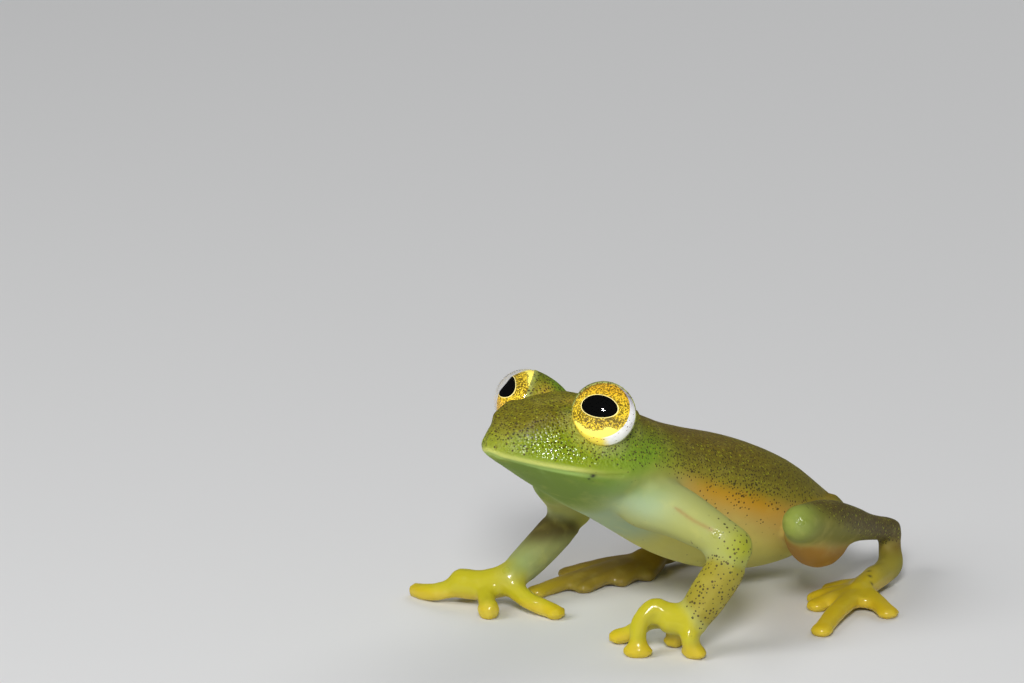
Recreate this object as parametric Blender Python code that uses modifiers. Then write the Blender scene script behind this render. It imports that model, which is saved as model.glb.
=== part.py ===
"""Glass frog crouching on a flat surface, life size, parted into head, torso, limbs and eyes.

The frog faces -Y, its left side is +X and it stands on z = 0. Working lengths are millimetres, and
the finished solids are scaled to metres. The body is one flowing skin, parted with thin cuts across
each joint.
"""

import math

import bmesh
import bpy
import numpy as np
from mathutils import Matrix, Vector
from mathutils.bvhtree import BVHTree

MM = 0.001

# Driving dimensions, in millimetres
GAP = 0.3
EYE_RADIUS = 1.62
EYE_GAP = 0.22
EYES = {
    "left": ((3.05, -0.65, 12.16), (0.46, -0.72, 0.52)),
    "right": ((-3.05, -0.55, 11.70), (-0.46, -0.72, 0.50)),
}
ORBIT_RADIUS = 1.9
ORBIT_SETBACK = 0.66
LID_OPENING_RADIUS = 1.93
LID_OPENING_LENGTH = 3.0
LID_EDGE_SETBACK = 0.3
FINGER_RADII = (0.54, 0.44)
FINGER_SPREAD = 0.0
TOE_RADII = (0.44, 0.36)
TOE_SPREAD = 0.16
WEB_HALF_THICKNESS = 0.34
WEB_CURVE = 0.30
MOUTH_GROOVE_RADIUS = 0.17
NOSTRIL_RADII = (0.17, 0.42, 0.22)
NOSTRIL_PLACE = (0.58, -5.74, 11.0)
VOXEL = 0.17
TRUNK_FACES = 3400
UPPER_ARM_FACES = 220
LOWER_ARM_FACES = 980
THIGH_FACES = 240
SHANK_FACES = 300
FOOT_FACES = 1080
FLOOR_BLOCK = (60.0, 60.0, 20.0)
RING_STEPS = 5
STATION_STEPS = 4
SAME_PLACE = 0.0001
RAY_STEP = 0.0002
NEVER_PARTED = "no cut"

# Head and trunk, from the snout to the vent: y, top, height of the widest line, underside,
# half width, and how full the top and the underside are, from 0 for a ridge to 1 for a box.
BODY = (
    (-5.88, 10.98, 10.72, 10.46, 0.30, 0.60, 0.60),
    (-5.66, 11.36, 10.60, 10.10, 0.92, 0.60, 0.62),
    (-5.22, 11.75, 10.44, 9.85, 1.36, 0.58, 0.66),
    (-4.70, 12.02, 10.28, 9.50, 1.82, 0.58, 0.68),
    (-4.00, 12.30, 10.08, 9.08, 2.42, 0.58, 0.70),
    (-3.20, 12.52, 9.86, 8.55, 3.00, 0.58, 0.70),
    (-2.20, 12.66, 9.58, 7.86, 3.60, 0.58, 0.70),
    (-1.20, 12.70, 9.36, 7.22, 4.00, 0.60, 0.70),
    (0.00, 12.60, 9.18, 6.40, 4.30, 0.64, 0.70),
    (1.60, 12.02, 8.90, 5.50, 4.40, 0.66, 0.70),
    (3.40, 11.18, 8.20, 4.35, 4.20, 0.70, 0.70),
    (5.80, 10.08, 7.20, 2.88, 4.15, 0.72, 0.70),
    (8.60, 9.10, 6.10, 1.70, 4.35, 0.74, 0.70),
    (11.20, 8.28, 5.05, 1.05, 4.40, 0.72, 0.70),
    (13.80, 7.02, 4.30, 0.95, 4.00, 0.70, 0.70),
    (16.00, 5.45, 3.75, 1.45, 3.15, 0.68, 0.70),
    (17.80, 4.20, 3.35, 2.15, 1.95, 0.66, 0.70),
    (18.80, 3.45, 3.10, 2.75, 0.60, 0.66, 0.70),
)

# Limb joints and the half thickness of the limb there, for each side of the body
ARMS = {
    "left": {
        "upper": (
            ((3.2, 2.0, 7.2), 1.6),
            ((5.4, 2.4, 6.8), 1.38),
            ((7.3, 2.9, 6.05), 1.15),
            ((8.4, 3.25, 5.45), 1.12),
        ),
        "fore": (
            ((8.4, 3.25, 5.45), 1.08),
            ((8.35, 2.6, 4.2), 1.08),
            ((7.98, 1.7, 2.85), 1.04),
            ((7.65, 1.1, 1.9), 0.95),
        ),
    },
    "right": {
        "upper": (
            ((-3.2, 2.0, 7.2), 1.6),
            ((-4.3, 3.1, 6.3), 1.35),
            ((-5.0, 4.2, 5.2), 1.1),
            ((-5.3, 5.1, 4.35), 1.05),
        ),
        "fore": (
            ((-5.3, 5.1, 4.35), 1.0),
            ((-5.15, 3.6, 3.45), 1.0),
            ((-4.95, 1.7, 2.45), 0.95),
            ((-4.9, 0.2, 1.7), 0.86),
        ),
    },
}
LEGS = {
    "left": {
        "thigh": (
            ((2.3, 15.9, 3.4), 1.55),
            ((4.9, 13.2, 3.4), 1.6),
            ((7.1, 10.3, 4.25), 1.36),
            ((8.7, 7.8, 5.6), 0.95),
        ),
        "shank": (
            ((9.0, 7.5, 6.05), 1.0),
            ((7.75, 10.6, 5.3), 1.2),
            ((6.65, 13.4, 4.45), 1.04),
            ((5.63, 16.2, 3.5), 0.74),
            ((4.65, 18.8, 2.7), 0.68),
        ),
        "tarsus": (
            ((4.48, 19.06, 2.42), 0.7),
            ((4.95, 18.45, 1.75), 0.66),
            ((5.45, 18.05, 1.1), 0.72),
            ((6.02, 16.7, 0.9), 0.72),
        ),
    },
    "right": {
        "thigh": (
            ((-2.3, 15.9, 3.4), 1.5),
            ((-4.7, 13.0, 3.6), 1.55),
            ((-7.0, 9.9, 4.5), 1.3),
            ((-8.6, 7.5, 5.8), 0.95),
        ),
        "shank": (
            ((-8.9, 7.2, 6.3), 0.98),
            ((-8.1, 9.9, 5.6), 1.15),
            ((-7.1, 12.9, 4.6), 1.04),
            ((-5.9, 16.4, 3.4), 0.76),
            ((-4.9, 19.1, 2.7), 0.7),
        ),
        "tarsus": (
            ((-4.9, 19.47, 2.5), 0.7),
            ((-4.95, 17.6, 1.6), 0.64),
            ((-4.95, 15.1, 1.15), 0.64),
            ((-4.9, 11.9, 0.95), 0.68),
        ),
    },
}

# Half length, half width and half thickness of the pads at the ends of the digits
WIDE_PAD = (0.56, 0.84, 0.42)
FINGER_PAD = (0.58, 0.66, 0.40)
SLIM_PAD = (0.50, 0.44, 0.34)
BALL_PAD = (0.62, 0.62, 0.62)
TOE_PAD = (0.62, 0.66, 0.36)
SMALL_TOE_PAD = (0.46, 0.50, 0.34)

# Digits: the pad, then the root, the bends and the middle of the pad
HANDS = {
    "left": {
        "palm": (((7.65, 1.1, 1.85), 0.92), ((6.75, 0.55, 1.85), 0.84)),
        "digits": (
            (FINGER_PAD, (7.0, 0.9, 1.6), (6.45, 1.25, 0.95), (6.05, 1.45, 0.36)),
            (FINGER_PAD, (6.6, 0.75, 1.7), (5.1, 0.6, 1.4), (4.4, 0.15, 0.75), (3.6, -0.2, 0.36)),
            (
                WIDE_PAD,
                (6.7, 0.4, 2.05),
                (6.2, -0.02, 2.46),
                (5.92, -0.55, 2.1),
                (5.8, -0.9, 1.5),
                (5.88, -1.03, 0.9),
                (6.0, -1.15, 0.3),
            ),
            (WIDE_PAD, (7.75, 0.9, 1.6), (8.1, 0.5, 1.1), (8.1, 0.8, 0.33)),
        ),
    },
    "right": {
        "palm": (((-4.9, 0.1, 1.6), 0.86), ((-6.05, -0.7, 1.18), 0.83), ((-7.15, -1.2, 1.14), 0.82)),
        "digits": (
            (FINGER_PAD, (-4.6, -0.1, 1.25), (-3.3, 0.0, 0.75), (-2.6, 0.35, 0.5), (-1.9, 0.52, 0.33)),
            (BALL_PAD, (-5.6, -0.9, 1.0), (-5.0, -1.5, 0.8), (-4.35, -1.95, 0.46)),
            (FINGER_PAD, (-7.2, -1.0, 1.15), (-7.5, -0.4, 0.85), (-7.8, 0.2, 0.36)),
            (SLIM_PAD, (-7.2, -1.4, 1.0), (-8.3, -1.95, 0.58), (-9.2, -2.08, 0.42), (-9.974, -1.95, 0.3)),
        ),
    },
}
FEET = {
    "left": {
        "sole": (((6.1, 16.2, 0.85), 0.7), ((7.0, 13.9, 0.68), 0.6)),
        "digits": (
            (SMALL_TOE_PAD, (6.3, 15.0, 0.6), (5.4, 14.6, 0.5), (4.7, 14.1, 0.3)),
            (SMALL_TOE_PAD, (6.6, 14.2, 0.6), (5.9, 13.3, 0.5), (5.3, 12.4, 0.3)),
            (TOE_PAD, (6.9, 13.8, 0.6), (6.7, 12.7, 0.52), (6.35, 11.55, 0.28)),
            (TOE_PAD, (7.2, 13.6, 0.62), (8.5, 10.8, 0.52), (9.76, 8.45, 0.28)),
            (TOE_PAD, (7.2, 14.2, 0.62), (8.4, 13.8, 0.5), (9.8, 13.3, 0.28)),
        ),
        "web": 0.62,
    },
    "right": {
        "sole": (((-4.9, 11.9, 0.9), 0.7), ((-5.0, 9.8, 0.75), 0.62)),
        "digits": (
            (SMALL_TOE_PAD, (-4.7, 10.6, 0.6), (-4.2, 9.8, 0.5), (-3.75, 8.9, 0.3)),
            (SMALL_TOE_PAD, (-4.8, 10.2, 0.6), (-4.3, 8.7, 0.5), (-3.95, 7.2, 0.3)),
            (TOE_PAD, (-4.95, 9.9, 0.6), (-4.7, 7.4, 0.52), (-4.5, 5.0, 0.28)),
            (TOE_PAD, (-5.1, 9.8, 0.62), (-5.4, 6.3, 0.52), (-5.5, 2.6, 0.28)),
            (TOE_PAD, (-5.2, 10.1, 0.62), (-6.2, 8.2, 0.5), (-6.9, 6.2, 0.28)),
        ),
        "web": 0.5,
    },
}

# Thin cuts that part the whole: centre, normal, and the half sizes of the elliptical blade
CUTS = {
    "neck": ((0.0, 0.9, 8.9), (0.0, 0.82, -0.57), 6.5, 6.2),
    "wrist_left": ((7.75, 1.3, 2.1), (-0.55, -0.5, -0.66), 1.6, 1.6),
    "wrist_right": ((-4.93, 0.6, 1.85), (0.1, -0.9, -0.42), 1.5, 1.5),
    "ankle_left": ((5.92, 16.66, 0.95), (0.40, -0.91, -0.10), 1.4, 1.4),
    "ankle_right": ((-4.9, 12.5, 1.1), (0.0, -0.98, -0.2), 1.4, 1.4),
}

# A point inside each node, by which the parted pieces are told apart
SEEDS = {
    "head": (0.0, -2.0, 10.0),
    "torso": (0.0, 9.0, 5.5),
    "upper_arm_left": (6.8, 2.75, 6.35),
    "forearm_left": (8.3, 2.4, 3.6),
    "hand_left": (6.9, 0.65, 1.8),
    "upper_arm_right": (-4.95, 3.8, 5.3),
    "forearm_right": (-5.0, 2.4, 2.9),
    "hand_right": (-5.8, -0.55, 1.2),
    "thigh_left": (6.3, 11.3, 3.9),
    "thigh_right": (-6.1, 11.0, 4.2),
    "shank_left": (6.7, 13.4, 4.5),
    "tarsus_left": (4.95, 18.4, 1.75),
    "foot_left": (6.7, 14.6, 0.7),
    "shank_right": (-7.2, 12.8, 4.6),
    "tarsus_right": (-4.95, 15.1, 1.15),
    "foot_right": (-5.0, 10.4, 0.75),
}

# Finish of each group of nodes: colour, roughness
SKINS = {
    "back_skin": ((0.36, 0.42, 0.09), 0.42),
    "limb_skin": ((0.50, 0.50, 0.12), 0.42),
    "hand_skin": ((0.82, 0.66, 0.07), 0.38),
    "eye": ((0.75, 0.50, 0.10), 0.12),
}
SKIN_OF_NODES = {"hand_skin": ("hand", "foot"), "eye": ("eye",), "back_skin": ("head", "torso")}


def clear_scene():
    for thing in list(bpy.data.objects):
        bpy.data.objects.remove(thing, do_unlink=True)


def collection(name):
    made = bpy.data.collections.new(name)
    bpy.context.scene.collection.children.link(made)
    return made


def mesh_object(name, bm, home):
    mesh = bpy.data.meshes.new(name)
    bmesh.ops.recalc_face_normals(bm, faces=bm.faces)
    bm.to_mesh(mesh)
    bm.free()
    made = bpy.data.objects.new(name, mesh)
    home.objects.link(made)
    return made


def evaluated_mesh(thing):
    """The object's mesh with its modifiers applied."""
    bpy.context.view_layer.update()
    graph = bpy.context.evaluated_depsgraph_get()
    return bpy.data.meshes.new_from_object(thing.evaluated_get(graph))


def apply_modifiers(thing):
    mesh = evaluated_mesh(thing)
    thing.modifiers.clear()
    thing.data = mesh
    return thing


def between(p0, p1, p2, p3, t):
    """The point at share t of the way from p1 to p2 on a Catmull-Rom curve."""
    bend = 2 * p0 - 5 * p1 + 4 * p2 - p3
    twist = 3 * p1 - p0 - 3 * p2 + p3
    return 0.5 * (2 * p1 + (p2 - p0) * t + bend * t**2 + twist * t**3)


def smooth_path(points, per_span):
    """Points along a Catmull-Rom curve through the given rows of numbers."""
    rows = np.array(points, float)
    padded = np.vstack([2 * rows[0] - rows[1], rows, 2 * rows[-1] - rows[-2]])
    found = []
    for i in range(1, len(padded) - 2):
        found += [between(*padded[i - 1 : i + 3], t) for t in np.arange(per_span) / per_span]
    found.append(rows[-1])
    return np.array(found)


def body_ring(station):
    """The outline of the body at one station: eight guide points, rounded by a closed curve."""
    y, top, wide, under, half, fullness, under_fullness = station
    shoulder = wide + 0.80 * (top - wide)
    flank = wide - 0.66 * (wide - under)
    right_side = [
        (0.0, top),
        (half * fullness, shoulder),
        (half, wide),
        (half * under_fullness, flank),
        (0.0, under),
    ]
    left_side = [(-x, z) for x, z in right_side[3:0:-1]]
    guide = right_side + left_side
    closed = np.array(guide[-1:] + guide + guide[:2])
    ring = []
    for i in range(1, len(closed) - 2):
        ring += [between(*closed[i - 1 : i + 3], t) for t in np.arange(RING_STEPS) / RING_STEPS]
    return [(x, y, z) for x, z in ring]


def body_loft(home):
    """Head and trunk in one closed skin, from the stations."""
    bm = bmesh.new()
    rings = [[bm.verts.new(p) for p in body_ring(s)] for s in smooth_path(BODY, STATION_STEPS)]
    for low, high in zip(rings, rings[1:]):
        for i in range(len(low)):
            j = (i + 1) % len(low)
            bm.faces.new((low[i], low[j], high[j], high[i]))
    bm.faces.new(rings[0])
    bm.faces.new(rings[-1])
    return mesh_object("body_loft", bm, home)


def tube(name, stops, home, grow=0.0):
    """A limb of changing thickness: a bevelled curve through the stops, with a ball at each end."""
    shape = bpy.data.curves.new(name, "CURVE")
    shape.dimensions = "3D"
    shape.bevel_depth = 1.0
    shape.bevel_resolution = 4
    shape.use_fill_caps = True
    shape.resolution_u = 1
    line = shape.splines.new("POLY")
    places = smooth_path([(*place, thick) for place, thick in stops], 6)
    line.points.add(len(places) - 1)
    for point, (x, y, z, thick) in zip(line.points, places):
        point.co = (x, y, z, 1.0)
        point.radius = thick + grow
    rod = bpy.data.objects.new(name, shape)
    home.objects.link(rod)
    mesh = evaluated_mesh(rod)
    bpy.data.objects.remove(rod, do_unlink=True)
    bm = bmesh.new()
    bm.from_mesh(mesh)
    bmesh.ops.remove_doubles(bm, verts=bm.verts, dist=SAME_PLACE)
    pieces = [mesh_object(name, bm, home)]
    for place, thick in (stops[0], stops[-1]):
        pieces.append(ball(name, place, (thick + grow,) * 3, home))
    return pieces


def ball(name, centre, radii, home, turn=None):
    """An ellipsoid, turned by a rotation matrix if one is given."""
    bm = bmesh.new()
    bmesh.ops.create_uvsphere(bm, u_segments=20, v_segments=12, radius=1.0)
    place = Matrix.Translation(centre) @ (turn or Matrix()) @ Matrix.Diagonal((*radii, 1.0))
    bmesh.ops.transform(bm, matrix=place, verts=bm.verts)
    return mesh_object(name, bm, home)


def facing(direction):
    """A rotation whose local X runs along the direction and whose Z stays as upright as it can."""
    ahead = Vector(direction).normalized()
    side = Vector((0, 0, 1)).cross(ahead).normalized()
    return Matrix((ahead, side, ahead.cross(side))).transposed().to_4x4()


def digit(name, pad, places, radii, spread, home):
    """A finger or toe: one tube, or two side by side for a flat digit, with a pad on the floor."""
    thick = np.linspace(*radii, len(places))
    tip, before, root = (Vector(places[i]) for i in (-1, -2, 0))
    side = (tip - root).cross(Vector((0, 0, 1))).normalized()
    pieces = []
    for shift in {spread, -spread}:
        pieces += tube(name, [(Vector(place) + shift * side, t) for place, t in zip(places, thick)], home)
    heading = tip - before
    heading.z = 0.0
    pieces.append(ball(name, tip, pad, home, facing(heading)))
    return pieces


def web(name, first, second, reach, home):
    """The skin between two toes: a thin plate with a curved free edge, sunk into both."""
    bm = bmesh.new()
    a, b = smooth_path(first, 4), smooth_path(second, 4)
    a, b = a[: int(len(a) * reach) + 1], b[: int(len(b) * reach) + 1]
    count = min(len(a), len(b))
    rows = []
    for i in range(count):
        across = []
        for t in np.linspace(0.0, 1.0, 5):
            back = round(WEB_CURVE * 4 * t * (1 - t) * i)
            j = max(i - back, 0)
            across.append(Vector(a[j]).lerp(Vector(b[j]), t))
        rows.append(across)
    layers = []
    for side in (1, -1):
        lift = Vector((0, 0, side * WEB_HALF_THICKNESS))
        layers.append([[bm.verts.new(p + lift) for p in row] for row in rows])
    for grid in layers:
        for low, high in zip(grid, grid[1:]):
            for i in range(len(low) - 1):
                bm.faces.new((low[i], low[i + 1], high[i + 1], high[i]))
    bmesh.ops.remove_doubles(bm, verts=bm.verts, dist=SAME_PLACE)
    rim = [e for e in bm.edges if e.is_boundary]
    bmesh.ops.bridge_loops(bm, edges=rim)
    return mesh_object(name, bm, home)


def hand(side, home):
    pieces = tube("palm", HANDS[side]["palm"], home)
    for pad, *places in HANDS[side]["digits"]:
        pieces += digit("finger", pad, places, FINGER_RADII, FINGER_SPREAD, home)
    return pieces


def foot(side, home):
    pieces = tube("sole", FEET[side]["sole"], home)
    paths = [places for _, *places in FEET[side]["digits"]]
    for pad, *places in FEET[side]["digits"]:
        pieces += digit("toe", pad, places, TOE_RADII, TOE_SPREAD, home)
    for first, second in zip(paths, paths[1:]):
        pieces.append(web("web", first, second, FEET[side]["web"], home))
    return pieces


def mirrored(point, side):
    sign = 1 if side == "left" else -1
    return Vector((sign * point[0], point[1], point[2]))


def orbit(side, home):
    """The swelling of the head that holds the eye, set back along the eye's axis."""
    centre, axis = (Vector(row) for row in EYES[side])
    return ball("orbit", centre - ORBIT_SETBACK * axis.normalized(), (ORBIT_RADIUS,) * 3, home)


def fused(name, pieces, faces, home):
    """One closed skin over all the pieces, smoothed, and thinned to the given number of faces."""
    bm = bmesh.new()
    for piece in pieces:
        bm.from_mesh(piece.data)
        bpy.data.objects.remove(piece, do_unlink=True)
    whole = mesh_object(name, bm, home)
    remesh = whole.modifiers.new("skin", "REMESH")
    remesh.mode = "VOXEL"
    remesh.voxel_size = VOXEL
    soften = whole.modifiers.new("soften", "SMOOTH")
    soften.factor = 0.5
    soften.iterations = 4
    apply_modifiers(whole)
    thin = whole.modifiers.new("thin", "DECIMATE")
    triangles = sum(len(p.vertices) - 2 for p in whole.data.polygons)
    thin.ratio = min(1.0, faces / triangles)
    apply_modifiers(whole)
    return whole


def swollen(thing, amount, home):
    """A copy of the thing, pushed outward by the amount."""
    copy = bpy.data.objects.new("room", evaluated_mesh(thing))
    home.objects.link(copy)
    push = copy.modifiers.new("push", "DISPLACE")
    push.strength = amount
    push.mid_level = 0.0
    return apply_modifiers(copy)


def carve(thing, cutters, solver="EXACT"):
    """Takes the cutters out of the thing, and removes them."""
    for cutter in cutters:
        cut = thing.modifiers.new("cut", "BOOLEAN")
        cut.operation = "DIFFERENCE"
        cut.object = cutter
        cut.solver = solver
        apply_modifiers(thing)
        bpy.data.objects.remove(cutter, do_unlink=True)
    return thing


def blade(name, home):
    """A disc of the thickness of the gap, across one joint."""
    centre, normal, long_half, short_half = CUTS[name]
    bm = bmesh.new()
    bmesh.ops.create_cone(bm, cap_ends=True, segments=28, radius1=1.0, radius2=1.0, depth=GAP)
    turn = facing(normal) @ Matrix.Rotation(math.radians(90), 4, "Y")
    size = Matrix.Diagonal((short_half, long_half, 1.0, 1.0))
    bmesh.ops.transform(bm, matrix=Matrix.Translation(centre) @ turn @ size, verts=bm.verts)
    return mesh_object(name, bm, home)


def floor_block(home):
    """All that lies under the floor, so that the pads end in flats at one level."""
    bm = bmesh.new()
    bmesh.ops.create_cube(bm, size=1.0)
    place = Matrix.Translation((0.0, 0.0, -FLOOR_BLOCK[2] / 2)) @ Matrix.Diagonal((*FLOOR_BLOCK, 1.0))
    bmesh.ops.transform(bm, matrix=place, verts=bm.verts)
    return mesh_object("below_floor", bm, home)


def lip_half_width(y):
    """Half width of the head at its lip line."""
    rows = smooth_path(BODY, STATION_STEPS)
    return float(np.interp(y, rows[:, 0], rows[:, 4]))


def lip_height(y):
    rows = smooth_path(BODY, STATION_STEPS)
    return float(np.interp(y, rows[:, 0], rows[:, 2]))


def mouth_cutter(home):
    """A thin bent rod along the lips, from one corner of the mouth round the snout to the other."""
    shape = bpy.data.curves.new("mouth", "CURVE")
    shape.dimensions = "3D"
    shape.bevel_depth = MOUTH_GROOVE_RADIUS
    shape.bevel_resolution = 1
    shape.use_fill_caps = True
    shape.resolution_u = 1
    depths = (0.0, -0.8, -1.78, -2.66, -3.48, -4.38, -5.12, -5.60)
    half = [(lip_half_width(y) + 0.02, y, lip_height(y) - 0.2) for y in depths]
    points = half + [(0.0, -5.92, 10.38)] + [(-x, y, z) for x, y, z in reversed(half)]
    line = shape.splines.new("POLY")
    places = smooth_path(points, 2)
    line.points.add(len(places) - 1)
    for point, place in zip(line.points, places):
        point.co = (*place, 1.0)
        point.radius = min(1.0, 0.5 + 0.3 * -place[1])
    rod = bpy.data.objects.new("mouth", shape)
    home.objects.link(rod)
    mesh = evaluated_mesh(rod)
    bpy.data.objects.remove(rod, do_unlink=True)
    bm = bmesh.new()
    bm.from_mesh(mesh)
    bmesh.ops.remove_doubles(bm, verts=bm.verts, dist=SAME_PLACE)
    return mesh_object("mouth", bm, home)


def nostril_cutters(home):
    found = []
    for side in ("left", "right"):
        found.append(ball("nostril", mirrored(NOSTRIL_PLACE, side), NOSTRIL_RADII, home))
    return found


def loose_parts(thing):
    """The separate closed surfaces of a mesh, as bmeshes."""
    whole = bmesh.new()
    whole.from_mesh(thing.data)
    bmesh.ops.remove_doubles(whole, verts=whole.verts, dist=SAME_PLACE)
    bmesh.ops.triangulate(whole, faces=whole.faces)
    whole.verts.index_update()
    left = set(whole.verts)
    while left:
        edge = [left.pop()]
        island = {edge[0].index}
        while edge:
            here = edge.pop()
            near = [link.other_vert(here) for link in here.link_edges]
            fresh = [v for v in set(near) if v in left]
            left.difference_update(fresh)
            island.update(v.index for v in fresh)
            edge += fresh
        part = whole.copy()
        part.verts.index_update()
        gone = [v for v in part.verts if v.index not in island]
        bmesh.ops.delete(part, geom=gone, context="VERTS")
        yield part
    whole.free()


def holds(part, point):
    """Whether a closed surface has the point inside: a ray from it leaves through an odd number of faces."""
    tree = BVHTree.FromBMesh(part)
    ahead = Vector((0.31, 0.87, 0.38)).normalized()
    here = Vector(point)
    crossings = 0
    while True:
        place, _, _, _ = tree.ray_cast(here, ahead)
        if place is None:
            return crossings % 2 == 1
        crossings += 1
        here = place + ahead * RAY_STEP


def part_out(thing, home):
    """Makes a node of each piece that holds one of the seeds, and drops scraps."""
    for part in loose_parts(thing):
        names = [name for name, seed in SEEDS.items() if holds(part, seed)]
        print("piece with", len(part.faces), "faces:", names or "scrap")
        if len(names) == 1:
            mesh_object(names[0], part, home)
        else:
            part.free()
    bpy.data.objects.remove(thing, do_unlink=True)


def eye(side, home):
    centre, axis = EYES[side]
    bm = bmesh.new()
    bmesh.ops.create_uvsphere(bm, u_segments=24, v_segments=14, radius=EYE_RADIUS)
    turn = facing(axis) @ Matrix.Rotation(math.radians(90), 4, "Y")
    bmesh.ops.transform(bm, matrix=Matrix.Translation(centre) @ turn, verts=bm.verts)
    return mesh_object(f"eye_{side}", bm, home)


def eye_socket(side, home):
    """Room for the eye, and a round opening in front of it that gives the lids a clean edge."""
    centre, axis = (Vector(row) for row in EYES[side])
    bm = bmesh.new()
    bmesh.ops.create_cone(
        bm,
        cap_ends=True,
        segments=32,
        radius1=LID_OPENING_RADIUS,
        radius2=LID_OPENING_RADIUS,
        depth=LID_OPENING_LENGTH,
    )
    turn = facing(axis) @ Matrix.Rotation(math.radians(90), 4, "Y")
    ahead = centre + (LID_OPENING_LENGTH / 2 - LID_EDGE_SETBACK) * axis.normalized()
    bmesh.ops.transform(bm, matrix=Matrix.Translation(ahead) @ turn, verts=bm.verts)
    opening = mesh_object("lid_opening", bm, home)
    return [ball("socket", centre, (EYE_RADIUS + EYE_GAP,) * 3, home), opening]


def blades(words, home):
    return [blade(name, home) for name in CUTS if name.startswith(words)]


def head_and_torso(home, work):
    """Head and trunk. Returns the trunk swollen by the gap, to take out of the limbs."""
    pieces = [body_loft(work), orbit("left", work), orbit("right", work)]
    whole = fused("trunk", pieces, TRUNK_FACES, work)
    room = swollen(whole, GAP, work)
    carve(whole, eye_socket("left", work) + eye_socket("right", work))
    carve(whole, [mouth_cutter(work)] + nostril_cutters(work))
    carve(whole, blades("neck", work))
    part_out(whole, home)
    return room


def limb(segments, room, home, work):
    """Parts each segment of a limb from the trunk, from the first segment and from the floor."""
    first = None
    for name, pieces, faces, words in segments:
        whole = fused(name, pieces, faces, work)
        first_room = first or swollen(whole, GAP, work)
        carve(whole, [swollen(room, 0.0, work), floor_block(work)])
        if first:
            carve(whole, [swollen(first, 0.0, work)])
        carve(whole, blades(words, work))
        part_out(whole, home)
        first = first_room
    bpy.data.objects.remove(first, do_unlink=True)


def arm(side, room, home, work):
    upper = tube("upper_arm", ARMS[side]["upper"], work)
    lower = tube("forearm", ARMS[side]["fore"], work) + hand(side, work)
    segments = (
        ("upper_arm", upper, UPPER_ARM_FACES, NEVER_PARTED),
        ("forearm", lower, LOWER_ARM_FACES, f"wrist_{side}"),
    )
    limb(segments, room, home, work)


def leg(side, room, home, work):
    shank = tube("shank", LEGS[side]["shank"], work)
    thigh = tube("thigh", LEGS[side]["thigh"], work)
    lower = tube("tarsus", LEGS[side]["tarsus"], work) + foot(side, work)
    segments = (
        ("shank", shank, SHANK_FACES, NEVER_PARTED),
        ("thigh", thigh, THIGH_FACES, NEVER_PARTED),
        ("foot", lower, FOOT_FACES, f"ankle_{side}"),
    )
    limb(segments, room, home, work)


def finish(home):
    """Scales the nodes to metres and puts the middle of the whole over the origin."""
    corners = [v.co for thing in home.objects for v in thing.data.vertices]
    low = [min(c[i] for c in corners) for i in range(3)]
    high = [max(c[i] for c in corners) for i in range(3)]
    middle = Vector(((low[0] + high[0]) / 2, (low[1] + high[1]) / 2, low[2]))
    print("middle", middle, "low", low, "high", high)
    place = Matrix.Diagonal((MM, MM, MM, 1.0)) @ Matrix.Translation(-middle)
    for thing in home.objects:
        thing.data.transform(place)
        thing.data.shade_smooth()


def skin_of(name):
    for group, words in SKIN_OF_NODES.items():
        if name.startswith(words):
            return group
    return "limb_skin"


def paint(home):
    made = {}
    for name, (colour, roughness) in SKINS.items():
        material = bpy.data.materials.new(name)
        material.use_nodes = True
        shader = material.node_tree.nodes["Principled BSDF"]
        shader.inputs["Base Color"].default_value = (*colour, 1.0)
        shader.inputs["Roughness"].default_value = roughness
        shader.inputs["Metallic"].default_value = 0.0
        made[name] = material
    for thing in home.objects:
        thing.data.materials.clear()
        thing.data.materials.append(made[skin_of(thing.name)])


def main():
    clear_scene()
    frog = collection("glass_frog")
    work = collection("work")
    room = head_and_torso(frog, work)
    for side in ("left", "right"):
        arm(side, room, frog, work)
        leg(side, room, frog, work)
        eye(side, frog)
    bpy.data.objects.remove(room, do_unlink=True)
    finish(frog)
    paint(frog)


main()
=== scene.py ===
# %% [markdown]
# # The looks of a glass frog
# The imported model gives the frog's pose and its true size as plain solids, one for each part of
# the body. Everything here is built around those solids, and nothing is moved. The whole frog is
# only 26 mm long, so the work is done in millimetres and brought back to metres at the end of each
# piece, which also keeps the modelling tools away from lengths too small for them.

# %% Load the frame
import math

import bmesh
import bpy
import numpy as np
from mathutils import Matrix, Vector
from mathutils.bvhtree import BVHTree


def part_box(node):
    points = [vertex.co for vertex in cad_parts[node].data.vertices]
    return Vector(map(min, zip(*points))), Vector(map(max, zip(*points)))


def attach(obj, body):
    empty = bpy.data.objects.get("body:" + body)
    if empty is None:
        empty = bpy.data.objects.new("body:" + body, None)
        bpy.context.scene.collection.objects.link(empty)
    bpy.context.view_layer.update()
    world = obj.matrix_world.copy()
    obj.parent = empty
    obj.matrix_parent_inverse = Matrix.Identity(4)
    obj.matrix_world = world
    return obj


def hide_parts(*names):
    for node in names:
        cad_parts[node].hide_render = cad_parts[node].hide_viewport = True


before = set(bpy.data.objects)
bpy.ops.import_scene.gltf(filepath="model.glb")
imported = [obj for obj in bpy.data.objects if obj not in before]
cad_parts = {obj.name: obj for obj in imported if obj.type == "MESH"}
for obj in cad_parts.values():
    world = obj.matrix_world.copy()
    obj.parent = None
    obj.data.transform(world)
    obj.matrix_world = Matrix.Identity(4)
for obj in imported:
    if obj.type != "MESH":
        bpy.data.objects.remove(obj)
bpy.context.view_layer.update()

MM = 0.001

# %% [markdown]
# ## Camera
# The frog was seen from in front of its left shoulder and a little above, through a long lens from
# about a third of a metre. A long lens keeps the far arm nearly as large as the near one. The
# direction is given as two angles round the frog, because those are easy to check against a view
# from above, and the camera is then turned to look back along that direction.

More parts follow.
